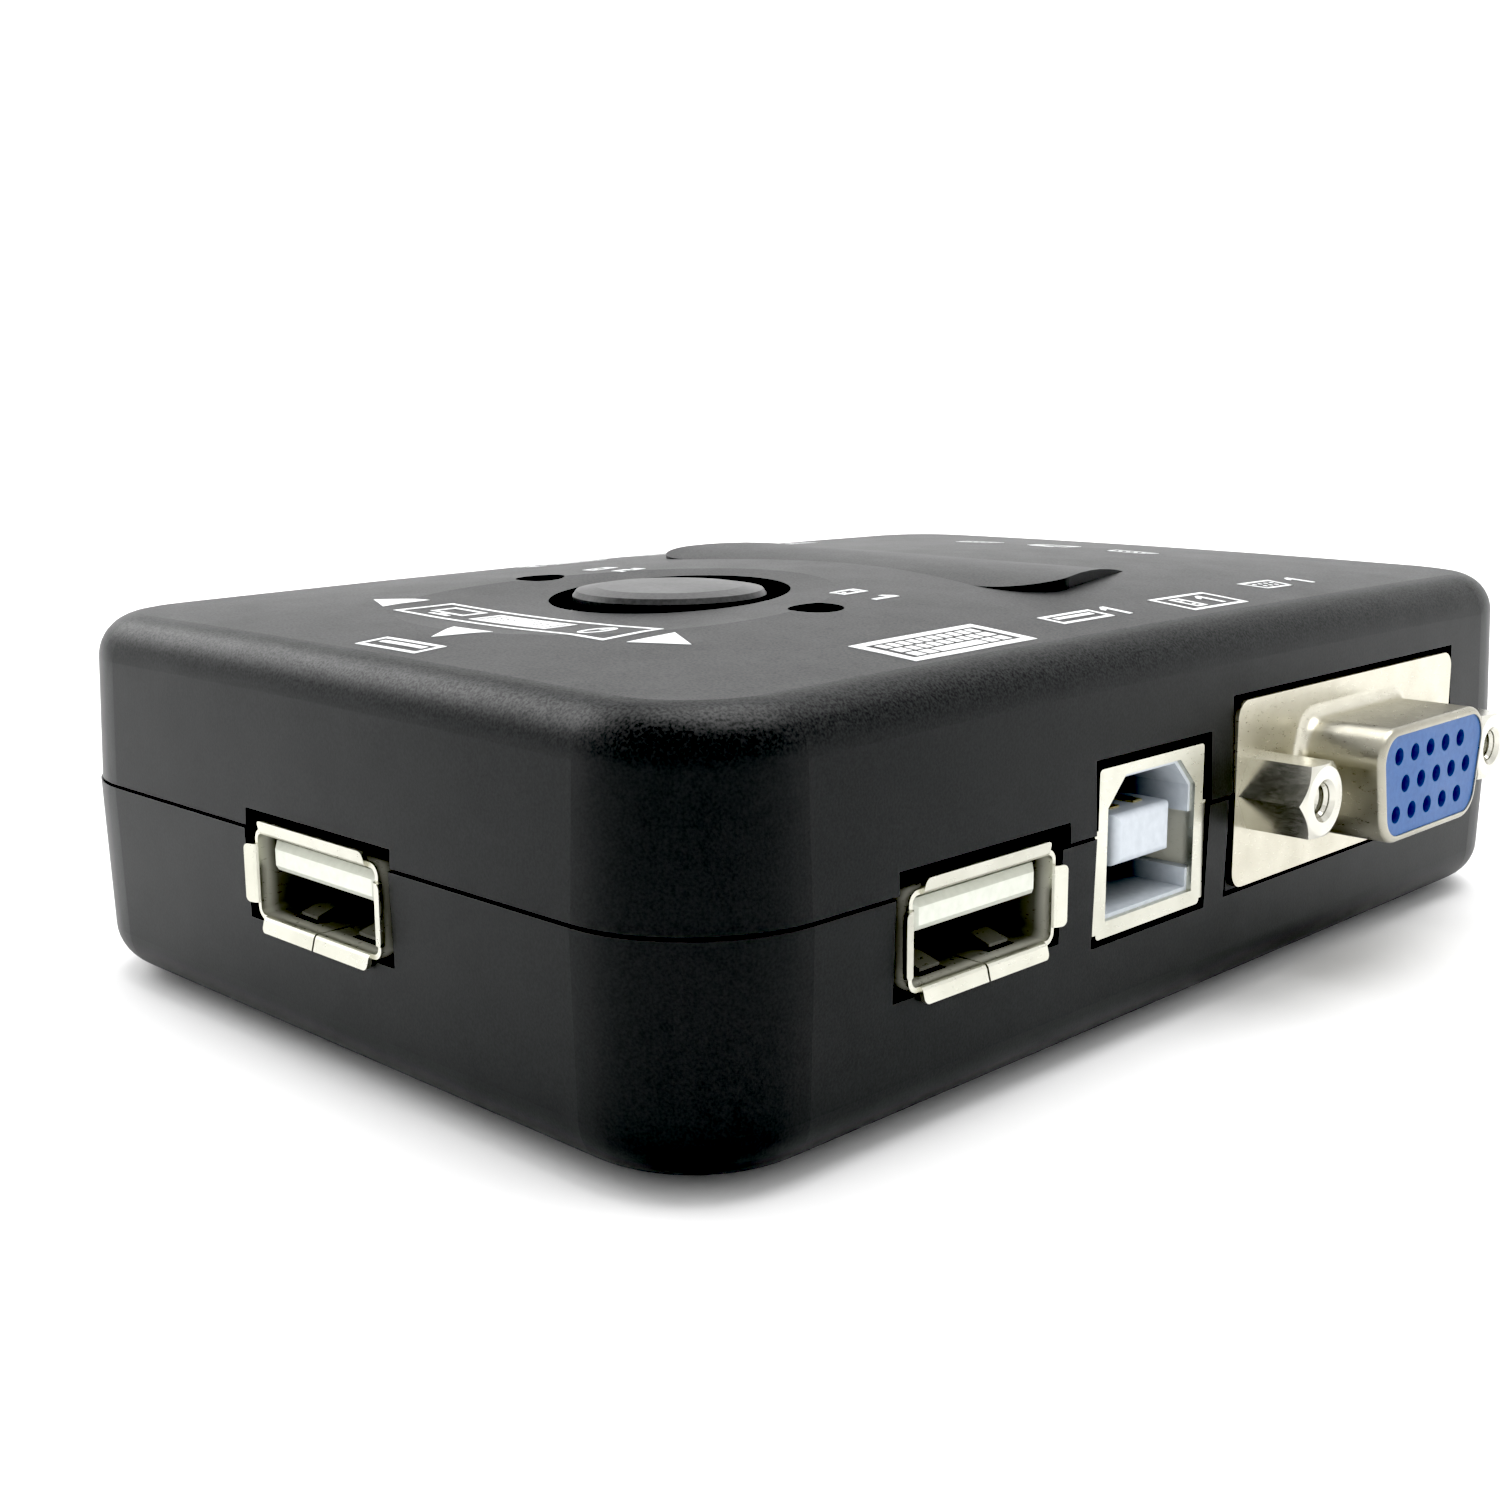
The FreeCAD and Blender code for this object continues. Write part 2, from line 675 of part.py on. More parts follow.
def make_tact_switch():
    body = doc.addObject("PartDesign::Body", "tact_switch")
    base = new_sketch(body, "base", "XY_Plane", "board_top")
    rectangle(base, "-switch_half", "-switch_half", "switch_half", "switch_half")
    pad(base, "switch_top - board_top")
    round_edges(body, "corners", "0.5", runs_along("Z", 1.0), kind="Chamfer")
    well = new_sketch(body, "well", "XY_Plane", "switch_top")
    circles(well, [("0", "0")], "plunger_radius + 0.1")
    pocket(well, "plunger_travel + 1")
    keep(body, "tact_switch", "0", "button_along")
    plunger = doc.addObject("PartDesign::Body", "tact_plunger")
    rod = new_sketch(plunger, "rod", "XY_Plane", "switch_top - 0.9")
    circles(rod, [("0", "0")], "plunger_radius")
    pad(rod, "plunger_top - switch_top + 0.9")
    keep(plunger, "tact_plunger", "0", "button_along")


def make_indicator(name, x):
    """Round lamp with a base flange, on two leads that stand on the board."""
    lens = doc.addObject("PartDesign::Body", f"indicator_{name}")
    low = "indicator_tip - 4.8"
    revolve(lens, "profile", [
        ("0", low), ("indicator_flange", low), ("indicator_flange", "indicator_tip - 3.9"),
        ("indicator_radius", "indicator_tip - 3.9"), ("indicator_radius", "indicator_tip - 1.3"),
        ("indicator_radius * 0.87", "indicator_tip - 0.7"),
        ("indicator_radius * 0.5", "indicator_tip - 0.18"), ("0", "indicator_tip")])
    keep(lens, f"indicator_{name}", x, "indicator_along")
    leads = [part_box(f"indicator_{name}_lead_{i}", (f"{place} - 0.25", "-0.25", "board_top"),
                      (f"{place} + 0.25", "0.25", low))
             for i, place in enumerate(("-1.27", "1.27"))]
    keep(group(f"indicator_{name}_lead_pair", leads), f"indicator_{name}_leads", x, "indicator_along")


# ---------------------------------------------------------------- VGA socket


def d_outline(sketch, inset):
    """D-shaped outline, the wide side up, drawn in by an inset."""
    lean = "vga_corner * (tan(vga_side_angle) - 1 / cos(vga_side_angle))"
    widen = "vga_corner * (tan(vga_side_angle) + 1 / cos(vga_side_angle))"
    bottom = f"(vga_half_top - 2 * vga_half_height * tan(vga_side_angle) + {lean})"
    top = f"(vga_half_top - {widen})"
    level = "(vga_half_height - vga_corner)"
    centres = [(f"-{bottom}", f"-{level}"), (bottom, f"-{level}"), (top, level), (f"-{top}", level)]
    return tangent_outline(sketch, centres, f"vga_corner - ({inset})")


def make_vga_shell(label, seat):
    body = doc.addObject("PartDesign::Body", label)
    flange = new_sketch(body, "flange", "YZ_Plane", "-vga_flange_thick")
    rounded_rectangle(flange, "vga_flange_width", "vga_flange_height", "vga_flange_corner")
    pad(flange, "vga_flange_thick")
    wall = new_sketch(body, "d_wall", "YZ_Plane", "-vga_flange_thick")
    pad(d_outline(wall, "0"), "vga_reach + vga_flange_thick")
    root = value("vga_half_top") + 0.1

    def at_root(edge):
        return flat_at("X", 0.0)(edge) and max(abs(end) for end in spans(edge, "Y")) < root

    round_edges(body, "root_round", "0.9", at_root)
    round_edges(body, "front_round", "0.42", flat_at("X", value("vga_reach")))
    mouth = new_sketch(body, "mouth", "YZ_Plane", "vga_reach")
    pocket(d_outline(mouth, "vga_skin"), "vga_reach + vga_flange_thick")
    holes = new_sketch(body, "jack_holes", "YZ_Plane", "0")
    circles(holes, [("jack_spacing / 2", "0"), ("-jack_spacing / 2", "0")], "jack_shank + 0.1")
    pocket(holes, "vga_flange_thick")
    keep(body, label, *seat)


def make_vga_insert(label, seat):
    body = doc.addObject("PartDesign::Body", label)
    core = new_sketch(body, "core", "YZ_Plane", "-vga_flange_thick")
    pad(d_outline(core, "vga_skin"), "vga_reach + vga_flange_thick - 0.1")
    contacts = new_sketch(body, "contacts", "YZ_Plane", "vga_reach - 0.1")
    places = []
    for row, shift in ((1, -0.25), (0, 0.25), (-1, -0.25)):
        for column in range(-2, 3):
            places.append((f"({column} + {shift}) * 2.29", f"{row} * 1.98"))
    circles(contacts, places, "0.6")
    pocket(contacts, "5")
    keep(body, label, *seat)


def make_vga_housing(label, seat):
    body = doc.addObject("PartDesign::Body", label)
    front = new_sketch(body, "front", "YZ_Plane", "-6.5")
    half_width = "vga_flange_width / 2"
    rectangle(front, f"-{half_width}", "board_top - parting", half_width, "5.2")
    pad(front, "6.5 - vga_flange_thick")
    rear = new_sketch(body, "rear", "YZ_Plane", "-8.5")
    rectangle(rear, "-9", "board_top - parting + 1", "9", "4.2")
    pad(rear, "2.5")
    bores = new_sketch(body, "jack_bores", "YZ_Plane", "-vga_flange_thick")
    circles(bores, [("jack_spacing / 2", "0"), ("-jack_spacing / 2", "0")], "jack_shank + 0.05")
    pocket(bores, "6")
    keep(body, label, *seat)


def make_vga_tails(label, seat):
    """Fifteen bent solder tails from the back of the housing down to the board."""
    tails = []
    for row in range(3):
        level = f"{row - 1} * 1.98"
        reach = f"-8.5 - 0.8 - {row} * 1.6"
        for column in range(5):
            across = f"({column} - 2 - 0.25) * 2.29"
            number = row * 5 + column
            run = part_box(f"{label}_run_{number}", (reach, f"{across} - 0.2", f"{level} - 0.2"),
                           ("-8.5", f"{across} + 0.2", f"{level} + 0.2"))
            drop = part_box(f"{label}_drop_{number}",
                            (reach, f"{across} - 0.2", "board_top - parting"),
                            (f"{reach} + 0.4", f"{across} + 0.2", f"{level} + 0.2"))
            tail = doc.addObject("Part::Fuse", f"{label}_tail_{number}")
            tail.Base = run
            tail.Tool = drop
            tails.append(tail)
    keep(group(label + "_set", tails), label, *seat)


def make_jackscrews(label, seat):
    """Two hexagonal posts with a threaded bore, mirrored about the socket's middle."""
    body = doc.addObject("PartDesign::Body", label + "_post")
    corner = "jack_flats / 2 / cos(30)"
    hexagon = new_sketch(body, "hexagon", "YZ_Plane", "0")
    polygon(hexagon, [(f"{corner} * cos({60 * i})", f"{corner} * sin({60 * i})") for i in range(6)])
    pad(hexagon, "jack_reach")
    bevel = new_sketch(body, "bevel", "XY_Plane")
    edge = "jack_flats / 2 - 0.12"
    polygon(bevel, [("jack_reach", edge), ("jack_reach + 0.5", edge), ("jack_reach + 0.5", "4"),
                    ("jack_reach - 1.1", "4")])
    groove = body.newObject("PartDesign::Groove", label + "_bevel_cut")
    groove.Profile = bevel
    groove.ReferenceAxis = (bevel, ["H_Axis"])
    groove.Angle = 360
    settle(groove)
    shank = new_sketch(body, "shank", "YZ_Plane", "0")
    circles(shank, [("0", "0")], "jack_shank")
    pad(shank, "5.5", down=True)
    bore = new_sketch(body, "bore", "YZ_Plane", "jack_reach")
    circles(bore, [("0", "0")], "jack_bore")
    pocket(bore, "jack_bore_depth")
    reach = value("jack_reach")
    small = value("jack_bore") + 0.05

    def bore_mouth(item):
        return flat_at("X", reach)(item) and spans(item, "Y")[1] < small

    round_edges(body, "bore_chamfer", "0.28", bore_mouth, kind="Chamfer")
    bind(body, "Placement.Base.y", "jack_spacing / 2")
    twin = doc.addObject("Part::Mirroring", label + "_twin")
    twin.Source = body
    twin.Normal = Vector(0, 1, 0)
    keep(group(label + "_pair", [body, twin]), label, *seat)


# ---------------------------------------------------------------- USB sockets


def lip_profile(inner):
    """Cross-section of a flared lip: (out of the case, away from the mouth)."""
    start = "lip_reach - lip_run"
    return [(f"{start} - 0.5", inner), (start, inner),
            (f"{start} + 0.15", f"{inner} + 0.05"), (f"{start} + 0.26", f"{inner} + 0.2"),
            ("lip_reach", f"{inner} + lip_rise"), ("lip_reach - lip_edge", f"{inner} + lip_rise"),
            (f"{start} - 0.02", f"{inner} + 0.38"), (f"{start} - 0.12", f"{inner} + usb_a_skin"),
            (f"{start} - 0.5", f"{inner} + usb_a_skin")]


def make_usb_a_shell(label, seat):
    body = doc.addObject("PartDesign::Body", label)
    half_width = "usb_a_width / 2"
    half_height = "usb_a_height / 2"
    tube = new_sketch(body, "tube", "YZ_Plane", "-usb_a_depth")
    rounded_rectangle(tube, "usb_a_width + 2 * usb_a_skin", "usb_a_height + 2 * usb_a_skin", "0.75")
    pad(tube, "usb_a_depth + lip_reach - lip_run")
    mouth = new_sketch(body, "mouth", "YZ_Plane", "lip_reach - lip_run")
    rounded_rectangle(mouth, "usb_a_width", "usb_a_height", "0.45")
    pocket(mouth, "usb_a_depth + lip_reach - lip_run - usb_a_skin")
    lip_length = "11.2"
    for side, sign in (("top", ""), ("bottom", "-")):
        lip = new_sketch(body, f"{side}_lip", "XZ_Plane", f"-{lip_length} / 2")
        polygon(lip, [(x, f"{sign}({z})") for x, z in lip_profile(half_height)])
        pad(lip, lip_length)
    side_lip = "3.7"
    for side, sign in (("left", ""), ("right", "-")):
        lip = new_sketch(body, f"{side}_lip", "XY_Plane", f"-{side_lip} / 2")
        polygon(lip, [(x, f"{sign}({y})") for x, y in lip_profile(half_width)])
        pad(lip, side_lip)
    edge_length = value("lip_edge") - 0.02
    longest = value("lip_edge") + 0.02

    def lip_corner(edge):
        low, high = spans(edge, "X")
        return runs_along("X", edge_length)(edge) and high - low < longest and low > 0

    round_edges(body, "lip_corners", "0.35", lip_corner)
    seam = new_sketch(body, "seam", "YZ_Plane", "lip_reach + 0.1")
    rectangle(seam, "-0.08", f"-{half_height} - 2", "0.08", f"-{half_height} + 0.05")
    pocket(seam, "usb_a_depth - 0.5")
    for number, across in enumerate(("-3.1", "3.1")):
        window = new_sketch(body, f"window_{number}", "XY_Plane", f"-{half_height} + 0.1")
        rectangle(window, "-8.2", f"{across} - 1.2", "-1.2", f"{across} + 1.2")
        pocket(window, "usb_a_skin + 0.2")
        spring = new_sketch(body, f"spring_{number}", "XZ_Plane", f"-({across}) - 0.85")
        polygon(spring, [("-8.4", f"-{half_height} - 0.25"), ("-8.4", f"-{half_height} - 0.05"),
                         ("-3.0", f"-{half_height} + 0.75"), ("-1.5", f"-{half_height} + 0.3"),
                         ("-1.5", f"-{half_height} + 0.1"), ("-3.0", f"-{half_height} + 0.53")])
        pad(spring, "1.7")
    keep(body, label, *seat)


def make_usb_a_tongue(label, seat):
    body = doc.addObject("PartDesign::Body", label)
    block = new_sketch(body, "block", "YZ_Plane", "-usb_a_depth + usb_a_skin")
    rounded_rectangle(block, "usb_a_width - 0.1", "usb_a_height - 0.1", "0.6")
    pad(block, "3")
    tongue = new_sketch(body, "tongue", "YZ_Plane", "-usb_a_depth + usb_a_skin")
    rectangle(tongue, "-usb_a_tongue_half", "0.2", "usb_a_tongue_half", "2.05")
    pad(tongue, "usb_a_depth - usb_a_skin + lip_reach - lip_run - usb_a_tongue_gap")
    front = value("lip_reach - lip_run - usb_a_tongue_gap")
    round_edges(body, "tip", "0.42", flat_at("X", front), kind="Chamfer")
    keep(body, label, *seat)


def make_usb_a_contacts(label, seat):
    places = ("-3.5", "-1", "1", "3.5")
    strips = [part_box(f"{label}_{i}", ("-usb_a_depth + usb_a_skin + 3", f"{y} - 0.5", "0.08"),
                       ("-1.7", f"{y} + 0.5", "0.2")) for i, y in enumerate(places)]
    keep(group(label + "_set", strips), label, *seat)


def usb_b_mouth(inset):
    """Corners of the mouth: a rectangle whose two upper corners are cut off."""
    half = f"(usb_b_mouth_width / 2 - {inset})"
    low = f"(usb_b_mouth_rise - usb_b_mouth_height / 2 + {inset})"
    high = f"(usb_b_mouth_rise + usb_b_mouth_height / 2 - {inset})"
    cut = f"(usb_b_mouth_chamfer - {inset} * 0.6)"
    return [(f"-{half}", low), (half, low), (half, f"{high} - {cut}"), (f"{half} - {cut}", high),
            (f"-({half} - {cut})", high), (f"-{half}", f"{high} - {cut}")]


def make_usb_b_shell(label, seat):
    body = doc.addObject("PartDesign::Body", label)
    can = new_sketch(body, "can", "YZ_Plane", "-usb_b_depth")
    rounded_rectangle(can, "usb_b_width - 0.7", "usb_b_height", "0.3")
    pad(can, "usb_b_depth - usb_b_recess")
    ears = new_sketch(body, "ears", "YZ_Plane", "-usb_b_recess")
    rectangle(ears, "-usb_b_width / 2", "-usb_b_height / 2 + 0.35", "usb_b_width / 2", "1.55")
    pad(ears, "2.2", down=True)
    inside = new_sketch(body, "inside", "YZ_Plane", "-usb_b_recess - usb_b_skin")
    rectangle(inside, "-usb_b_width / 2 + 0.35 + usb_b_skin", "-usb_b_height / 2 + usb_b_skin",
              "usb_b_width / 2 - 0.35 - usb_b_skin", "usb_b_height / 2 - usb_b_skin")
    pocket(inside, "usb_b_depth - usb_b_recess - 2 * usb_b_skin")
    mouth = new_sketch(body, "mouth", "YZ_Plane", "-usb_b_recess")
    polygon(mouth, usb_b_mouth("0"))
    pocket(mouth, "usb_b_skin + 0.2")
    keep(body, label, *seat)


def make_usb_b_insert(label, seat):
    body = doc.addObject("PartDesign::Body", label)
    front = "usb_b_recess + usb_b_skin"
    half_width = "usb_b_width / 2 - 0.35 - usb_b_skin - 0.02"
    half_height = "usb_b_height / 2 - usb_b_skin - 0.02"
    block = new_sketch(body, "block", "YZ_Plane", f"-({front})")
    rectangle(block, f"-({half_width})", f"-({half_height})", half_width, half_height)
    pad(block, f"usb_b_depth - ({front}) - usb_b_skin - 0.05", down=True)
    cavity = new_sketch(body, "cavity", "YZ_Plane", f"-({front})")
    polygon(cavity, usb_b_mouth("0.25"))
    pocket(cavity, "9")
    slots = new_sketch(body, "side_slots", "YZ_Plane", f"-({front})")
    rectangle(slots, f"-({half_width}) - 0.5", "-2.75", f"{half_width} + 0.5", "0.95")
    pocket(slots, "7")
    core = new_sketch(body, "core", "YZ_Plane", f"-({front}) - 9.2")
    rectangle(core, "-usb_b_core_half", "-1.3", "usb_b_core_half", "1.9")
    pad(core, "9.2 - usb_b_core_gap")
    tip = value(f"-({front}) - usb_b_core_gap")
    round_edges(body, "core_tip", "0.5", flat_at("X", tip))
    keep(body, label, *seat)


def make_usb_b_contacts(label, seat):
    strips = []
    for level, low, high in (("top", "1.9", "2.02"), ("bottom", "-1.42", "-1.3")):
        for number, y in enumerate(("-1.25", "1.25")):
            strips.append(part_box(f"{label}_{level}_{number}", ("-9.6", f"{y} - 0.5", low),
                                   ("-2.2", f"{y} + 0.5", high)))
    keep(group(label + "_set", strips), label, *seat)


# ---------------------------------------------------------------- assembly

make_lower_shell()
make_upper_shell()
for (corner_x, corner_y), foot_name in zip(CORNERS, ("rear_right", "front_right", "rear_left", "front_left")):
    make_foot(f"foot_{foot_name}", corner_x, corner_y)
make_case_screws()
make_board()
make_chip("usb_switch_chip", "2", "6", "3.5", "3.5", "1.2")
make_chip("video_switch_chip_1", "10", "22", "2.0", "4.4", "1.2")
make_chip("video_switch_chip_2", "-10", "22", "2.0", "4.4", "1.2")
make_capacitor()
make_button()
make_tact_switch()
make_indicator("pc1", "indicator_across")
make_indicator("pc2", "-indicator_across")

for socket, (wall_x, wall_y, facing) in VGA_SOCKETS.items():
    place = (wall_x, wall_y, "parting", facing)
    make_vga_shell(f"vga_{socket}_shell", place)
    make_vga_insert(f"vga_{socket}_insert", place)
    make_vga_housing(f"vga_{socket}_housing", place)
    make_vga_tails(f"vga_{socket}_tails", place)
    make_jackscrews(f"vga_{socket}_jackscrews", place)
for socket, (wall_x, wall_y, facing) in USB_B_SOCKETS.items():
    place = (wall_x, wall_y, "parting - usb_b_drop", facing)
    make_usb_b_shell(f"usb_b_{socket}_shell", place)
    make_usb_b_insert(f"usb_b_{socket}_insert", place)
    make_usb_b_contacts(f"usb_b_{socket}_contacts", place)
for socket, (wall_x, wall_y, drop, facing) in USB_A_SOCKETS.items():
    place = (wall_x, wall_y, f"parting - {drop}", facing)
    make_usb_a_shell(f"usb_a_{socket}_shell", place)
    make_usb_a_tongue(f"usb_a_{socket}_tongue", place)
    make_usb_a_contacts(f"usb_a_{socket}_contacts", place)

doc.recompute()
for item in doc.Objects:
    if "Invalid" in item.State or "Error" in item.State:
        raise RuntimeError(f"{item.Label} failed: {item.State}")
for item in SUBPARTS:
    if item.Shape.isNull() or not item.Shape.isValid():
        raise RuntimeError(f"{item.Label} has no valid shape")

os.makedirs("parts", exist_ok=True)
for item in SUBPARTS:
    item.Shape.exportStep(f"parts/{item.Label}.step")
    print(f"{item.Label}: {len(item.Shape.Solids)} solid(s), {item.Shape.Volume:.1f} mm3")
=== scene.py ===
import json
import math

import bmesh
import bpy
from mathutils import Matrix, Vector
from mathutils.bvhtree import BVHTree


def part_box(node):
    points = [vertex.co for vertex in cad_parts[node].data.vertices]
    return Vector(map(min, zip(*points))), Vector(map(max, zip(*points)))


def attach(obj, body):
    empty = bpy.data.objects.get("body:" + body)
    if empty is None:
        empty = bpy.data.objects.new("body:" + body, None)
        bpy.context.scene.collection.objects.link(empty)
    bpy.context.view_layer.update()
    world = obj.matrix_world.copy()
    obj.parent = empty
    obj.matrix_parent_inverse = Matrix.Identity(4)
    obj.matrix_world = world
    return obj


# Looks of the two-port KVM switch. The sizes of materials, legends and threads are in
# millimetres, and MM turns them into metres. x and y of the printed legends are counted from
# the case's middle. The stage, the lights and the camera are in metres.

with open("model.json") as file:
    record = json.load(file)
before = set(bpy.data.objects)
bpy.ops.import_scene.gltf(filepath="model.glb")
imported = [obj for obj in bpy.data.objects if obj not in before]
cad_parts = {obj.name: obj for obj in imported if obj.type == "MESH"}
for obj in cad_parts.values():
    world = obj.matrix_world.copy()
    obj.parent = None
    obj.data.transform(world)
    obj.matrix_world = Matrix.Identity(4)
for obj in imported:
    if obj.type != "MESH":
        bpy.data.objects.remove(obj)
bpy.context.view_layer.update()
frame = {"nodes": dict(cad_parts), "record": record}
nodes = frame["nodes"]
MM = 0.001
case_low, case_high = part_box("lower_shell")
case_middle = (case_low + case_high) / 2
parting = case_high.z

# ---------------------------------------------------------------- materials

NOISE_ROUGHNESS = 0.55
GRAIN_LOW, GRAIN_HIGH = 0.36, 0.64
# Faces tilted up less than WALL_TILT keep a small share of the specular level and faces past TOP_TILT
# keep all of it: a painted sheen on the top and painted shade on the walls.
WALL_TILT, TOP_TILT = 0.1, 0.7
PAINTED_SHEEN_WALL_SHARE = 0.12
MOTTLE_TO_GRAIN = 25
STREAK_SIZE, STREAK_DEPTH, STREAK_STRENGTH = 0.5, 0.001, 0.1
TARNISH_SIZE = 4.0
TRACK_SCALE, TRACK_DEPTH, TRACK_STRENGTH = 450.0, 0.02, 0.3


def node_material(name):
    """New material, with its node tree and its principled shader."""
    material = bpy.data.materials.new(name)
    material.use_nodes = True
    tree = material.node_tree
    shader = tree.nodes["Principled BSDF"]
    return material, tree, shader


def add(tree, kind, **inputs):
    item = tree.nodes.new(kind)
    for key, value in inputs.items():
        item.inputs[key.replace("_", " ")].default_value = value
    return item


def noise(tree, size_mm, detail=3.0, stretch=(1, 1, 1)):
    """Noise whose grains are about size_mm across, laid in the object's own space."""
    place = tree.nodes.new("ShaderNodeTexCoord")
    scale = add(tree, "ShaderNodeMapping", Scale=stretch)
    grain = add(tree, "ShaderNodeTexNoise", Scale=1 / (size_mm * MM), Detail=detail,
                Roughness=NOISE_ROUGHNESS)
    tree.links.new(place.outputs["Object"], scale.inputs["Vector"])
    tree.links.new(scale.outputs["Vector"], grain.inputs["Vector"])
    return grain.outputs["Fac"]


def ramp(tree, factor, low, high, start=0.3, end=0.7):
    """Numbers from low to high as the factor goes from start to end."""
    spread = add(tree, "ShaderNodeMapRange", From_Min=start, From_Max=end, To_Min=low, To_Max=high)
    tree.links.new(factor, spread.inputs["Value"])
    return spread.outputs["Result"]


def blend_colour(tree, factor, dark, light):
    mix = tree.nodes.new("ShaderNodeMix")
    mix.data_type = "RGBA"
    mix.inputs["A"].default_value = (*dark, 1)
    mix.inputs["B"].default_value = (*light, 1)
    tree.links.new(factor, mix.inputs["Factor"])
    return mix.outputs["Result"]


def finish_surface(tree, shader, colour, roughness, height, depth_mm, strength):
    """Join colour, roughness and a bump of the height, depth_mm deep, to the shader."""
    bump = add(tree, "ShaderNodeBump", Strength=strength, Distance=depth_mm * MM)
    tree.links.new(height, bump.inputs["Height"])
    tree.links.new(colour, shader.inputs["Base Color"])
    tree.links.new(roughness, shader.inputs["Roughness"])
    tree.links.new(bump.outputs["Normal"], shader.inputs["Normal"])


def by_depth(tree, node, outward, deep_value, deep_mm, mouth_mm):
    """Number that is 1 down to mouth_mm behind the node's outermost point, and deep_value
    from deep_mm on."""
    low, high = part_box(node)
    axis = [abs(part) for part in outward].index(1)
    sign = outward[axis]
    outermost = (high if sign > 0 else -low)[axis]
    place = tree.nodes.new("ShaderNodeTexCoord")
    split = tree.nodes.new("ShaderNodeSeparateXYZ")
    tree.links.new(place.outputs["Object"], split.inputs["Vector"])
    facing = tree.nodes.new("ShaderNodeMath")
    facing.operation = "MULTIPLY"
    facing.inputs[1].default_value = sign
    tree.links.new(split.outputs["XYZ"[axis]], facing.inputs[0])
    return ramp(tree, facing.outputs["Value"], deep_value, 1.0,
                outermost - deep_mm * MM, outermost - mouth_mm * MM)


# Colour scaled by a share that comes from depth: painted shade where the share is below one, a painted
# highlight where it is above.
def scaled_by_painted_light(tree, colour, share):
    scaled = tree.nodes.new("ShaderNodeVectorMath")
    scaled.operation = "SCALE"
    tree.links.new(colour, scaled.inputs[0])
    tree.links.new(share, scaled.inputs["Scale"])
    return scaled.outputs["Vector"]


def sparkle_and_painted_sheen(tree, grain, specular, sparkle):
    """Specular level that follows the grain, fully on faces that look up and less on walls: a painted
    sheen on the top and painted shade on the walls.
    """
    uneven = ramp(tree, grain, specular * (1 - sparkle), specular * (1 + sparkle),
                  GRAIN_LOW, GRAIN_HIGH)
    place = tree.nodes.new("ShaderNodeNewGeometry")
    split = tree.nodes.new("ShaderNodeSeparateXYZ")
    tree.links.new(place.outputs["Normal"], split.inputs["Vector"])
    share = tree.nodes.new("ShaderNodeMix")
    share.data_type = "FLOAT"
    share.inputs["A"].default_value = specular
    # Painted sheen: tops keep the full specular level and walls a small share.
    painted_sheen_upward = ramp(tree, split.outputs["Z"], PAINTED_SHEEN_WALL_SHARE, 1.0, WALL_TILT, TOP_TILT)
    tree.links.new(painted_sheen_upward, share.inputs["Factor"])
    tree.links.new(uneven, share.inputs["B"])
    return share.outputs["Result"]


def moulded(name, dark, light, rough, grain_mm, depth_mm, specular=0.5, strength=1.0, sparkle=0.1,
            inside=None):
    """Moulded plastic or rubber: mottled colour, uneven gloss and a fine eroded grain. The gloss is
    also cut on walls, a painted sheen on tops and painted shade on walls, and inside, when given,
    darkens the colour with depth as painted shade.
    """
    material, tree, shader = node_material(name)
    fine = noise(tree, grain_mm)
    broad = noise(tree, grain_mm * MOTTLE_TO_GRAIN, detail=2.0)
    colour = blend_colour(tree, ramp(tree, fine, 0, 1), dark, light)
    # Painted shade: with inside given, the colour darkens with depth into a socket.
    if inside:
        colour = scaled_by_painted_light(tree, colour, by_depth(tree, *inside))
    finish_surface(tree, shader, colour, ramp(tree, broad, *rough), fine, depth_mm, strength)
    # Painted sheen on tops and painted shade on walls, through the specular level.
    gloss = sparkle_and_painted_sheen(tree, fine, specular, sparkle)
    tree.links.new(gloss, shader.inputs["Specular IOR Level"])
    return material


def plated(name, dark, light, rough, inside=None, dull=None):
    """Plated sheet metal: rolling streaks, faint tarnish and fine pits. Inside, when given, scales the
    colour with depth as painted light: painted shade deep in the USB sockets and a painted highlight
    on the VGA flanges.
    """
    material, tree, shader = node_material(name)
    streaks = noise(tree, STREAK_SIZE, stretch=(1, 1, 3))
    tarnish = noise(tree, TARNISH_SIZE, detail=2.0)
    colour = blend_colour(tree, ramp(tree, tarnish, 0, 1), dark, light)
    # Painted light: with inside given, the colour is scaled with depth, darker deep in the USB sockets
    # and brighter on the VGA flanges.
    if inside:
        colour = scaled_by_painted_light(tree, colour, by_depth(tree, *inside))
    finish_surface(tree, shader, colour, ramp(tree, streaks, *rough),
                   streaks, STREAK_DEPTH, STREAK_STRENGTH)
    shader.inputs["Metallic"].default_value = 1.0
    if dull:
        tree.links.new(by_depth(tree, *dull), shader.inputs["Metallic"])
    return material


def smoky_lens(name):
    """Unlit lamp: dark glossy resin."""
    material, tree, shader = node_material(name)
    cloud = noise(tree, 0.8)
    colour = blend_colour(tree, cloud, (0.10, 0.11, 0.11), (0.18, 0.19, 0.19))
    finish_surface(tree, shader, colour, ramp(tree, cloud, 0.10, 0.18), cloud, 0.002, 0.2)
    return material


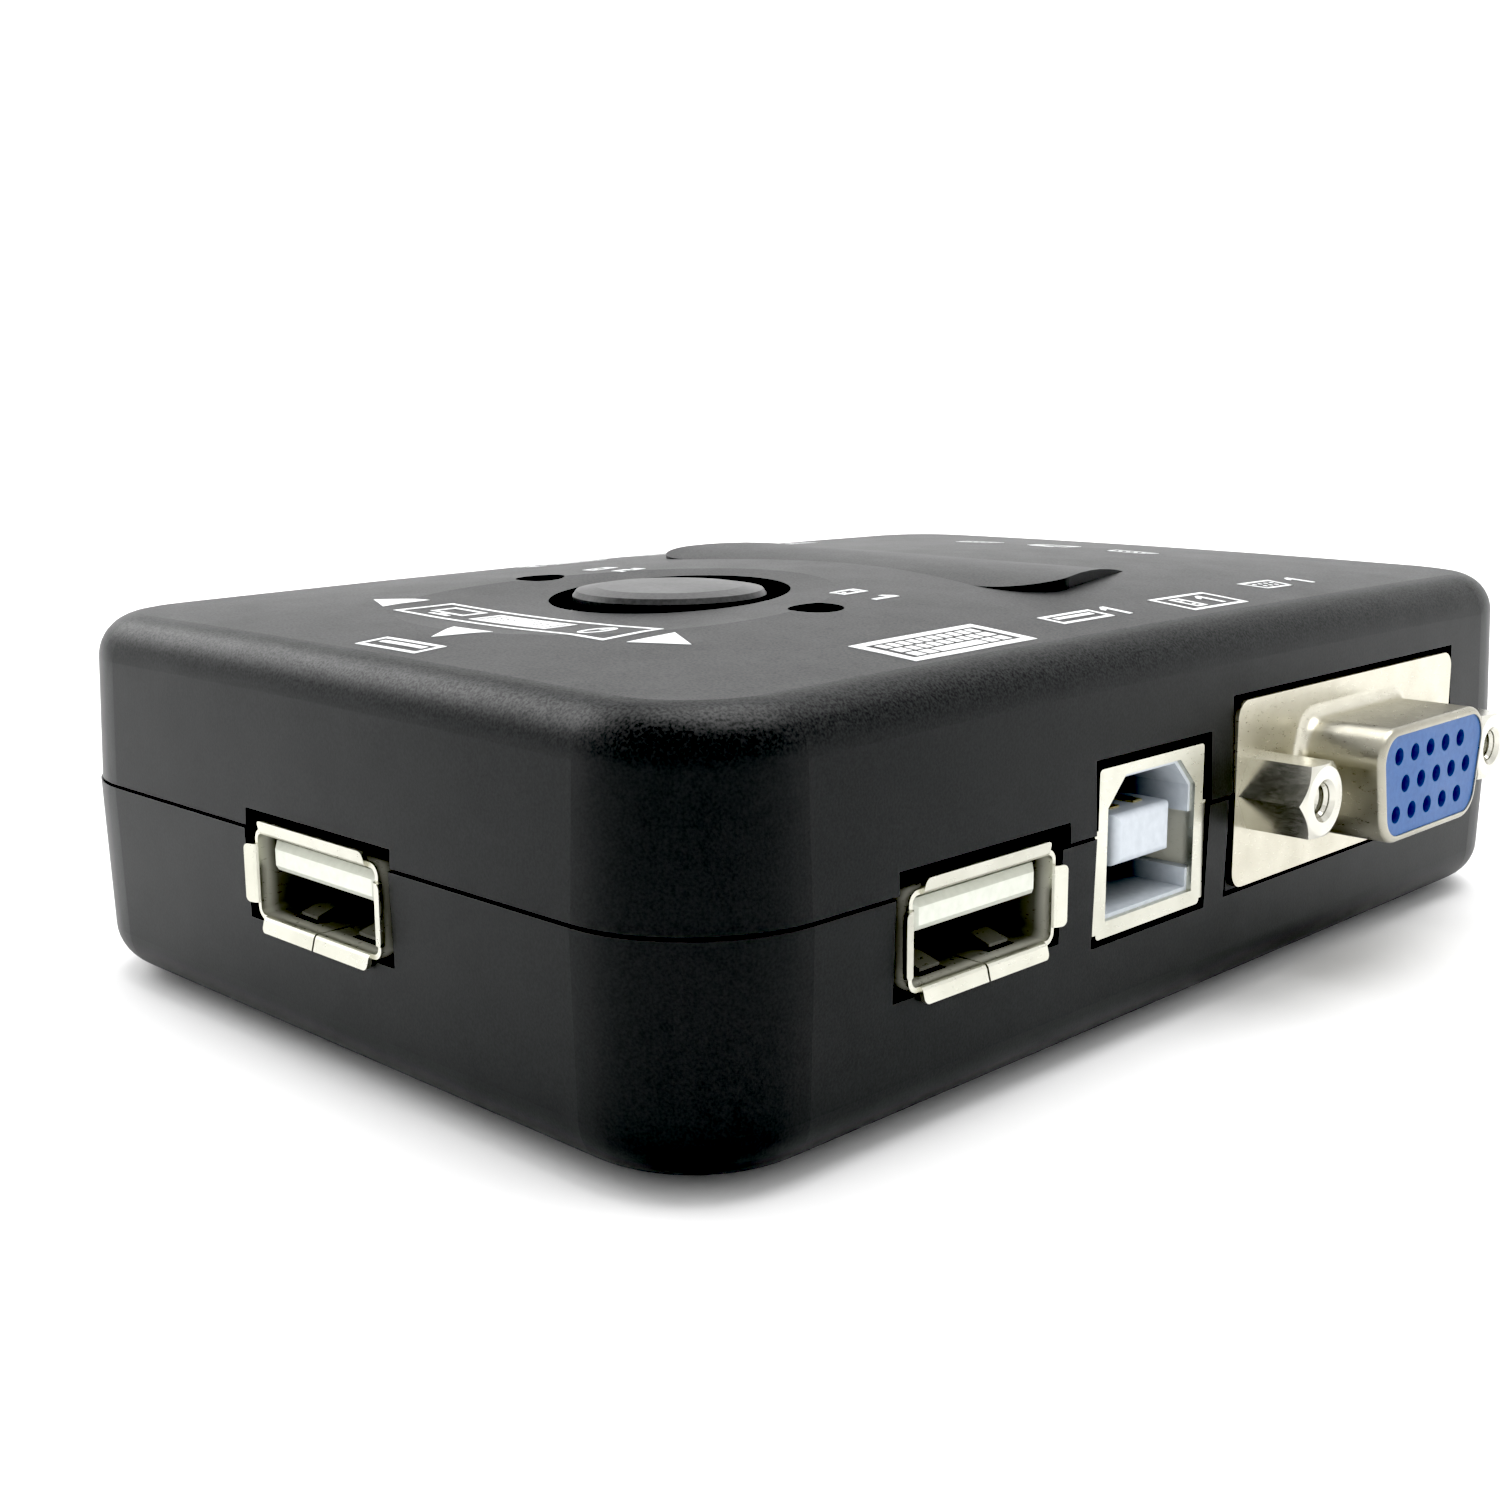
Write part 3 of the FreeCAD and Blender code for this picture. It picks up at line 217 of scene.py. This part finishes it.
def board_laminate(name):
    """Green solder resist with faint rows of copper tracks under it."""
    material, tree, shader = node_material(name)
    place = tree.nodes.new("ShaderNodeTexCoord")
    tracks = add(tree, "ShaderNodeTexWave", Scale=TRACK_SCALE, Distortion=6.0, Detail=1.0)
    tree.links.new(place.outputs["Object"], tracks.inputs["Vector"])
    height = tracks.outputs["Fac"]
    colour = blend_colour(tree, ramp(tree, height, 0, 1, 0.45, 0.55),
                          (0.01, 0.10, 0.04), (0.02, 0.19, 0.08))
    finish_surface(tree, shader, colour, ramp(tree, noise(tree, 2.0), 0.25, 0.4),
                   height, TRACK_DEPTH, TRACK_STRENGTH)
    return material


# Each row gives the dark and light colours and the range of roughness. Moulded pieces add the
# size and depth of their grain.
MATERIALS = {
    "case_plastic": moulded("case_plastic", (0.0062, 0.0065, 0.0066), (0.0078, 0.0083, 0.0084),
                            (0.40, 0.43), 0.16, 0.016, specular=0.31, strength=0.28, sparkle=0.38),
    "button_plastic": moulded("button_plastic", (0.042, 0.042, 0.042), (0.052, 0.052, 0.052),
                              (0.30, 0.36), 0.3, 0.010, specular=0.17, strength=0.3, sparkle=0.2),
    "foot_rubber": moulded("foot_rubber", (0.008, 0.008, 0.008), (0.02, 0.02, 0.02),
                           (0.75, 0.9), 0.3, 0.03, specular=0.3),
    "screw_steel": plated("screw_steel", (0.42, 0.42, 0.43), (0.6, 0.6, 0.62), (0.25, 0.4)),
    "board_laminate": board_laminate("board_laminate"),
    "chip_plastic": moulded("chip_plastic", (0.012, 0.012, 0.012), (0.02, 0.02, 0.02),
                            (0.5, 0.62), 0.15, 0.01),
    "capacitor_can": moulded("capacitor_can", (0.02, 0.025, 0.08), (0.03, 0.035, 0.11),
                             (0.3, 0.4), 0.6, 0.01),
    "housing_plastic": moulded("housing_plastic", (0.010, 0.010, 0.011), (0.018, 0.018, 0.019),
                               (0.45, 0.6), 0.3, 0.015),
    "tinned_metal": plated("tinned_metal", (0.6, 0.6, 0.58), (0.78, 0.78, 0.76), (0.2, 0.35)),
    "lamp_lens": smoky_lens("lamp_lens"),
    "nickel_post": plated("nickel_post", (0.56, 0.55, 0.49), (0.68, 0.67, 0.61), (0.18, 0.26)),
    "gold_contact": plated("gold_contact", (0.50, 0.44, 0.26), (0.62, 0.55, 0.34), (0.25, 0.35)),
    "blue_plastic": moulded("blue_plastic", (0.026, 0.087, 0.255), (0.036, 0.113, 0.31),
                            (0.4, 0.5), 0.4, 0.012, strength=0.4),
    "lilac_plastic": moulded("lilac_plastic", (0.62, 0.66, 0.72), (0.70, 0.74, 0.80),
                             (0.32, 0.42), 0.6, 0.01, strength=0.3),
    "ivory_plastic": moulded("ivory_plastic", (0.66, 0.68, 0.60), (0.74, 0.76, 0.68),
                             (0.28, 0.38), 0.6, 0.01, strength=0.3),
    "nickel_plate": plated("nickel_plate", (0.56, 0.555, 0.48), (0.66, 0.655, 0.58), (0.2, 0.3)),
    "legend_ink": moulded("legend_ink", (0.70, 0.71, 0.71), (0.84, 0.85, 0.85),
                          (0.45, 0.55), 0.25, 0.01, strength=0.4),
}

for part in frame["record"]["subparts"]:
    mesh = nodes[part["node"]].data
    mesh.materials.clear()
    mesh.materials.append(MATERIALS[part["material_slot"]])

# The colours of the USB sockets' insides are darkened with depth, a painted shade, and the VGA
# sockets' raised walls take a darkened copy of the nickel, painted shade, while their flanges behind
# the walls are brightened back up, a painted highlight. Each row below gives the deep value, the depth
# where it starts and the depth where the mouth's own value ends.
OUTWARD = {"keyboard": (1, 0, 0), "mouse": (-1, 0, 0), "front": (0, -1, 0),
           "pc1": (1, 0, 0), "pc2": (-1, 0, 0), "monitor": (0, 1, 0)}
NICKEL = ((0.56, 0.555, 0.48), (0.66, 0.655, 0.58), (0.26, 0.36))
LILAC = ((0.50, 0.54, 0.585), (0.57, 0.61, 0.655), (0.32, 0.42))
# A darkened copy of the nickel for the VGA walls: painted shade.
PAINTED_SHADE_WALL_NICKEL = ((0.34, 0.325, 0.27), (0.41, 0.395, 0.335), (0.26, 0.36))
USB_A_SHADE = (0.20, 1.7, 0.5)
USB_A_DULL = (0.0, 1.0, 0.5)
USB_B_SHADE = (0.4, 4.0, 0.5)
USB_B_DULL = (0.0, 1.2, 0.5)
# The VGA flanges are scaled back up past the walls: a painted highlight.
VGA_FLANGE_PAINTED_HIGHLIGHT = (1.55, 6.0, 4.6)

# Painted shade deep inside the USB-A shells.
for socket in ("keyboard", "mouse", "front"):
    shell, outward = f"usb_a_{socket}_shell", OUTWARD[socket]
    nodes[shell].data.materials[0] = plated(f"nickel_{socket}", *NICKEL,
                                            inside=(shell, outward, *USB_A_SHADE),
                                            dull=(shell, outward, *USB_A_DULL))
# Painted shade deep inside the USB-B inserts.
for socket in ("pc1", "pc2"):
    insert, shell, outward = f"usb_b_{socket}_insert", f"usb_b_{socket}_shell", OUTWARD[socket]
    nodes[insert].data.materials[0] = moulded(f"lilac_{socket}", *LILAC, 0.6, 0.01, strength=0.3,
                                              inside=(insert, outward, *USB_B_SHADE))
    nodes[shell].data.materials[0] = plated(f"nickel_b_{socket}", *NICKEL,
                                            dull=(shell, outward, *USB_B_DULL))
# Painted shade on the VGA walls and a painted highlight on their flanges.
for socket in ("pc1", "pc2", "monitor"):
    shell, outward = f"vga_{socket}_shell", OUTWARD[socket]
    nodes[shell].data.materials[0] = plated(f"nickel_vga_{socket}", *PAINTED_SHADE_WALL_NICKEL,
                                            inside=(shell, outward, *VGA_FLANGE_PAINTED_HIGHLIGHT))

# ---------------------------------------------------------------- helpers for meshes


def circle(sides):
    """Points of a circle of radius one."""
    angles = [2 * math.pi * i / sides for i in range(sides)]
    return [(math.cos(angle), math.sin(angle)) for angle in angles]


def link_mesh(name, build):
    mesh = bpy.data.meshes.new(name)
    build.to_mesh(mesh)
    build.free()
    piece = bpy.data.objects.new(name, mesh)
    bpy.context.scene.collection.objects.link(piece)
    return piece


def case_piece(name, build, slot):
    """Piece of one material that rides on the case."""
    bmesh.ops.recalc_face_normals(build, faces=build.faces)
    piece = link_mesh(name, build)
    piece.data.materials.append(MATERIALS[slot])
    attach(piece, "case")


# ---------------------------------------------------------------- signs in the legends

FRAME_LINE = 0.36
DISC_SIDES = 14
DOT_SIDES = 8
MOUSE_SIDES = 18


def bar(x0, y0, x1, y1):
    return [(x0, y0), (x1, y0), (x1, y1), (x0, y1)]


def outline(x0, y0, x1, y1, line):
    """Four bars that frame a rectangle."""
    return [bar(x0, y0, x1, y0 + line), bar(x0, y1 - line, x1, y1),
            bar(x0, y0 + line, x0 + line, y1 - line), bar(x1 - line, y0 + line, x1, y1 - line)]


def framed(half_wide, half_tall, signs):
    return outline(-half_wide, -half_tall, half_wide, half_tall, FRAME_LINE) + signs


def disc(x, y, radius, sides=DISC_SIDES):
    return [(x + radius * c, y + radius * s) for c, s in circle(sides)]


def triangle(tip_x, tip_y, base_x, base_y, half):
    """Solid arrowhead from the middle of its base to its tip."""
    along = Vector((tip_x - base_x, tip_y - base_y)).normalized()
    across = Vector((-along.y, along.x)) * half
    return [(tip_x, tip_y), (base_x + across.x, base_y + across.y),
            (base_x - across.x, base_y - across.y)]


def digit_one(x, y, tall):
    line = tall * 0.19
    top, right, left = y + tall / 2, x - line / 2, x - line * 1.9
    return [bar(right, y - tall / 2, x + line / 2, top),
            [(right, top), (left, y + tall * 0.27), (left, y + tall * 0.10), (right, y + tall * 0.24)]]


def digit_two(x, y, tall):
    half, line = tall * 0.27, tall * 0.17
    left, right = x - half, x + half
    low, high = y - tall / 2, y + tall / 2
    return [bar(left, high - line, right, high),
            bar(right - line, y, right, high - line),
            bar(left, y - line / 2, right - line, y + line / 2),
            bar(left, low, left + line, y - line / 2),
            bar(left + line, low, right, low + line)]


def monitor_sign(x, y, tall):
    """Screen on a neck and a foot."""
    half, line = tall * 0.62, tall * 0.13
    neck, foot = tall * 0.1, tall * 0.36
    screen_low, neck_low = y - tall * 0.25, y - tall * 0.38
    return (outline(x - half, screen_low, x + half, y + tall / 2, line)
            + [bar(x - neck, neck_low, x + neck, screen_low),
               bar(x - foot, y - tall / 2, x + foot, neck_low)])


def tower_sign(x, y, tall):
    """Upright computer box with a slot and a lamp."""
    half, line = tall * 0.28, tall * 0.12
    slot_half, lamp_radius = half * 0.4, tall * 0.07
    return (outline(x - half, y - tall / 2, x + half, y + tall / 2, line)
            + [bar(x - slot_half, y + tall * 0.18, x + slot_half, y + tall * 0.27),
               disc(x, y - tall * 0.2, lamp_radius)])


def mouse_sign(x, y, tall):
    """Oval body with a wheel."""
    half, high, line = tall * 0.3, tall / 2, tall * 0.12
    wheel_half = line * 0.4
    ring = circle(MOUSE_SIDES)
    shapes = [bar(x - wheel_half, y + tall * 0.08, x + wheel_half, y + tall * 0.34)]
    for (ax, ay), (bx, by) in zip(ring, ring[1:] + ring[:1]):
        shapes.append([(x + half * ax, y + high * ay), (x + half * bx, y + high * by),
                       (x + (half - line) * bx, y + (high - line) * by),
                       (x + (half - line) * ax, y + (high - line) * ay)])
    return shapes


def port_sign(x, y, tall):
    """Mouth of a flat socket: a frame with a tongue in its upper half."""
    half, line = tall * 1.3, tall * 0.16
    tongue_half = half * 0.72
    return (outline(x - half, y - tall / 2, x + half, y + tall / 2, line)
            + [bar(x - tongue_half, y - tall * 0.02, x + tongue_half, y + tall * 0.2)])


def socket_sign(x, y, tall):
    """Face of a flat-sided socket, with two rows of dots."""
    line, dot, pitch = tall * 0.13, tall * 0.08, tall * 0.34
    wide, narrow = tall * 0.95, tall * 0.75
    low, high = y - tall / 2, y + tall / 2
    shapes = [bar(x - wide, high - line, x + wide, high),
              bar(x - narrow, low, x + narrow, low + line)]
    for side in (1, -1):
        shapes.append([(x + side * wide, high), (x + side * narrow, low),
                       (x + side * (narrow - line), low), (x + side * (wide - line), high)])
    for row, count in ((0.13, 4), (-0.15, 3)):
        for i in range(count):
            shapes.append(disc(x + (i - (count - 1) / 2) * pitch, y + row * tall, dot, DOT_SIDES))
    return shapes


def keyboard_sign(x, y, wide, tall):
    """Keyboard seen from above: a heavy frame, two rows of keys and a row with a long bar."""
    line, gap = tall * 0.13, tall * 0.055
    shapes = outline(x - wide / 2, y - tall / 2, x + wide / 2, y + tall / 2, line)
    row_tall = (tall - 2 * line - 4 * gap) / 3
    inside = wide - 2 * line - 4 * gap
    rows = ([1.0] * 10, [1.5] + [1.0] * 7 + [1.5], [1.0, 1.0, 5.0, 1.0, 1.0])
    for number, keys in enumerate(rows):
        unit = (inside - gap * (len(keys) - 1)) / sum(keys)
        high = y + tall / 2 - line - gap - number * (row_tall + gap)
        start = x - inside / 2
        for key in keys:
            shapes.append(bar(start, high - row_tall, start + key * unit, high))
            start += key * unit + gap
    return shapes


def turned(shapes, x, y, quarter):
    """Turn shapes drawn about the origin by quarter turns, then put them at x, y."""
    c, s = round(math.cos(quarter * math.pi / 2)), round(math.sin(quarter * math.pi / 2))
    return [[(x + c * px - s * py, y + s * px + c * py) for px, py in shape] for shape in shapes]


# ---------------------------------------------------------------- printed legends

INK_THICK = 0.03
INK_LIFT = 0.004
GRID_ACROSS, GRID_ALONG = 36, 50
RAY_START = 50
shell_mesh = nodes["upper_shell"].data
shell_tree = BVHTree.FromPolygons([v.co for v in shell_mesh.vertices],
                                  [p.vertices for p in shell_mesh.polygons])


def top_height(x, y):
    """Height of the case's top at a point, in metres, found by a ray from above."""
    above = Vector((x, y, parting + RAY_START * MM))
    return shell_tree.ray_cast(above, Vector((0, 0, -1)))[0].z


def flat_faces(shapes):
    """Mesh of the shapes, laid flat over the case and facing up."""
    build = bmesh.new()
    for shape in shapes:
        build.faces.new([build.verts.new((case_middle.x + px * MM, case_middle.y + py * MM, 0))
                         for px, py in shape])
    bmesh.ops.recalc_face_normals(build, faces=build.faces)
    for face in build.faces:
        if face.normal.z < 0:
            face.normal_flip()
    return build


def cut_on_grid(build):
    """Cut the faces along a millimetre grid, so that they can follow a curved top."""
    for axis, reach in ((Vector((1, 0, 0)), GRID_ACROSS), (Vector((0, 1, 0)), GRID_ALONG)):
        for step in range(-reach, reach + 1):
            place = case_middle + axis * step * MM
            parts = list(build.verts) + list(build.edges) + list(build.faces)
            bmesh.ops.bisect_plane(build, geom=parts, plane_co=(place.x, place.y, 0), plane_no=axis)


def print_legend(name, shapes):
    """Thin raised ink that follows the case's crowned top."""
    build = flat_faces(shapes)
    cut_on_grid(build)
    for vertex in build.verts:
        vertex.co.z = top_height(vertex.co.x, vertex.co.y) + INK_LIFT * MM
    grown = bmesh.ops.extrude_face_region(build, geom=list(build.faces))
    for item in grown["geom"]:
        if isinstance(item, bmesh.types.BMVert):
            item.co.z += INK_THICK * MM
    case_piece(name, build, "legend_ink")


def print_shared_legends():
    """Legends of the shared screen, keyboard, mouse and front socket, and of the rear socket."""
    console = monitor_sign(-7.0, 0, 2.8) + keyboard_sign(0, 0, 7.6, 2.6) + mouse_sign(7.2, 0, 2.9)
    print_legend("console_legend", turned(framed(10.45, 2.4, console), 1.65, -31.9, 0))
    print_legend("console_arrows", [triangle(-14.9, -31.7, -11.0, -31.7, 1.9),
                                    triangle(17.0, -31.9, 13.6, -31.9, 1.9),
                                    triangle(2.2, -39.2, 2.2, -36.1, 1.95)])
    print_legend("front_socket_legend", port_sign(2.6, -41.7, 2.3))
    print_legend("keyboard_legend", turned(keyboard_sign(0, 0, 11.1, 5.0), 26.05, -20.35, 1))
    print_legend("monitor_legend", monitor_sign(-2.0, 29.0, 3.2) + socket_sign(-10.0, 29.0, 2.2)
                 + socket_sign(6.0, 29.0, 2.2))


def print_computer_legends(number, digit, side, quarter):
    """Legends of one computer: its lamp, and its three sockets along one side of the case."""
    lamp = tower_sign(-1.6, 0, 2.4) + digit(1.6, 0, 2.3)
    usb = port_sign(-1.0, 0, 2.1) + digit(3.4, 0, 2.3)
    computer = framed(3.35, 1.85, tower_sign(-1.3, 0, 2.3) + digit(1.5, 0, 2.2))
    vga = socket_sign(-1.3, 0, 2.3) + digit(3.5, 0, 2.3)
    print_legend(f"lamp_{number}_legend", turned(lamp, side * 12.6, -11.8, 0))
    print_legend(f"usb_{number}_legend", turned(usb, side * 25.7, -5.8, quarter))
    print_legend(f"pc_{number}_legend", turned(computer, side * 26.5, 6.2, quarter))
    print_legend(f"vga_{number}_legend", turned(vga, side * 24.9, 19.3, quarter))


print_shared_legends()
print_computer_legends(1, digit_one, 1, 1)
print_computer_legends(2, digit_two, -1, 3)

# ---------------------------------------------------------------- threads in the jackscrews

JACK_SPACING = 24.99
THREAD_PITCH = 0.635
THREAD_ROOT = 1.12
THREAD_CREST = 0.96
THREAD_HALF = 0.22
THREAD_FIRST = 0.6
THREAD_TURNS = 5
THREAD_SIDES = 24


def thread_ring(build, centre, out, across):
    """One closed ridge round the bore."""
    up = out.cross(across)
    section = ((-THREAD_HALF, THREAD_ROOT), (0, THREAD_CREST), (THREAD_HALF, THREAD_ROOT))
    rows = []
    for c, s in circle(THREAD_SIDES):
        spoke = across * c + up * s
        rows.append([build.verts.new(centre + out * step * MM + spoke * radius * MM)
                     for step, radius in section])
    for row, after in zip(rows, rows[1:] + rows[:1]):
        for k in range(len(section)):
            j = (k + 1) % len(section)
            build.faces.new((row[k], row[j], after[j], after[k]))


def add_threads(socket):
    """Thread ridges inside the bores of one socket's two jackscrews."""
    low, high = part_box(f"vga_{socket}_jackscrews")
    out = Vector(OUTWARD[socket])
    across = Vector((0, 0, 1)).cross(out)
    tip = max(out.dot(low), out.dot(high))
    centre = (low + high) / 2
    centre += out * (tip - out.dot(centre))
    build = bmesh.new()
    for side in (1, -1):
        bore = centre + across * side * JACK_SPACING / 2 * MM
        for turn in range(THREAD_TURNS):
            depth = THREAD_FIRST + turn * THREAD_PITCH
            thread_ring(build, bore - out * depth * MM, out, across)
    case_piece(f"vga_{socket}_threads", build, "nickel_post")


for socket in ("pc1", "pc2", "monitor"):
    add_threads(socket)

# ---------------------------------------------------------------- stage, light and camera

FLOOR_RADIUS, FLOOR_RINGS = 0.9, 10
BEND_RADIUS, BEND_RINGS = 0.6, 40
WALL_TOP = 1.3
STAGE_SIDES = 96
PAPER_CLOUD, PAPER_GRAIN = 30.0, 0.5
SKY_STRENGTH = 1.0
LENS, SENSOR = 44.75, 36.0
EYE = Vector((0.093345, case_middle.y - 0.104007, parting + 0.026771))
YAW, PITCH, ROLL = 2.3533923, -0.1963672, -0.0065086
NEAR_CLIP = 0.005
BLACK_LEVEL = (0.0465, 0.046, 0.046)


def stage_profile():
    """Radius and height of each ring: a flat floor, a quarter bend and a wall."""
    profile = [(FLOOR_RADIUS * i / FLOOR_RINGS, 0) for i in range(1, FLOOR_RINGS + 1)]
    for i in range(1, BEND_RINGS + 1):
        turn = math.pi / 2 * i / BEND_RINGS
        profile.append((FLOOR_RADIUS + BEND_RADIUS * math.sin(turn),
                        BEND_RADIUS * (1 - math.cos(turn))))
    return profile + [(FLOOR_RADIUS + BEND_RADIUS, WALL_TOP)]


def make_stage():
    """Pale table that curves up into a wall all round, so that no view shows a horizon."""
    build = bmesh.new()
    centre = build.verts.new((0, 0, 0))
    rings = [[build.verts.new((radius * c, radius * s, height)) for c, s in circle(STAGE_SIDES)]
             for radius, height in stage_profile()]
    for k in range(STAGE_SIDES):
        after = (k + 1) % STAGE_SIDES
        build.faces.new((centre, rings[0][k], rings[0][after]))
        for inner, outer in zip(rings, rings[1:]):
            build.faces.new((inner[k], outer[k], outer[after], inner[after]))
    for face in build.faces:
        face.smooth = True
    table = link_mesh("table", build)
    table.data.materials.append(table_paper())


def table_paper():
    material, tree, shader = node_material("table_paper")
    cloud = noise(tree, PAPER_CLOUD)
    colour = blend_colour(tree, cloud, (0.90, 0.90, 0.90), (0.93, 0.93, 0.93))
    finish_surface(tree, shader, colour, ramp(tree, cloud, 0.6, 0.7),
                   noise(tree, PAPER_GRAIN), 0.01, 0.1)
    return material


def area_light(name, place, target, size, watts):
    data = bpy.data.lights.new(name, "AREA")
    data.shape = "RECTANGLE"
    data.size, data.size_y = size
    data.energy = watts
    lamp = bpy.data.objects.new(name, data)
    lamp.location = place
    lamp.rotation_euler = (Vector(target) - Vector(place)).to_track_quat("-Z", "Y").to_euler()
    bpy.context.scene.collection.objects.link(lamp)


def make_light():
    """Even white surroundings, a large softbox above and a smaller one in front on the left."""
    world = bpy.data.worlds.new("studio")
    world.use_nodes = True
    sky = world.node_tree.nodes["Background"]
    sky.inputs["Color"].default_value = (1, 1, 1, 1)
    sky.inputs["Strength"].default_value = SKY_STRENGTH
    bpy.context.scene.world = world
    area_light("top_softbox", (0.0, 0.3, 1.2), (0, 0, 0.01), (1.2, 1.0), watts=14.0)
    area_light("left_softbox", (-0.85, -0.22, 0.68), (0, 0, 0.02), (0.7, 0.5), watts=4.5)


def make_camera():
    """Low three-quarter view of the front and right sides, from close by."""
    data = bpy.data.cameras.new("view")
    data.sensor_width = SENSOR
    data.lens = LENS
    data.clip_start = NEAR_CLIP
    camera = bpy.data.objects.new("view", data)
    forward = Vector((math.cos(PITCH) * math.cos(YAW), math.cos(PITCH) * math.sin(YAW),
                      math.sin(PITCH)))
    side = forward.cross(Vector((0, 0, 1))).normalized()
    up = side.cross(forward)
    right = side * math.cos(ROLL) + up * math.sin(ROLL)
    above = up * math.cos(ROLL) - side * math.sin(ROLL)
    turn = Matrix((right, above, -forward)).transposed()
    camera.matrix_world = Matrix.Translation(EYE) @ turn.to_4x4()
    bpy.context.scene.collection.objects.link(camera)
    bpy.context.scene.camera = camera


make_stage()
make_light()
make_camera()
settings = bpy.context.scene.view_settings
settings.view_transform = "Standard"
settings.use_curve_mapping = True
settings.curve_mapping.black_level = BLACK_LEVEL
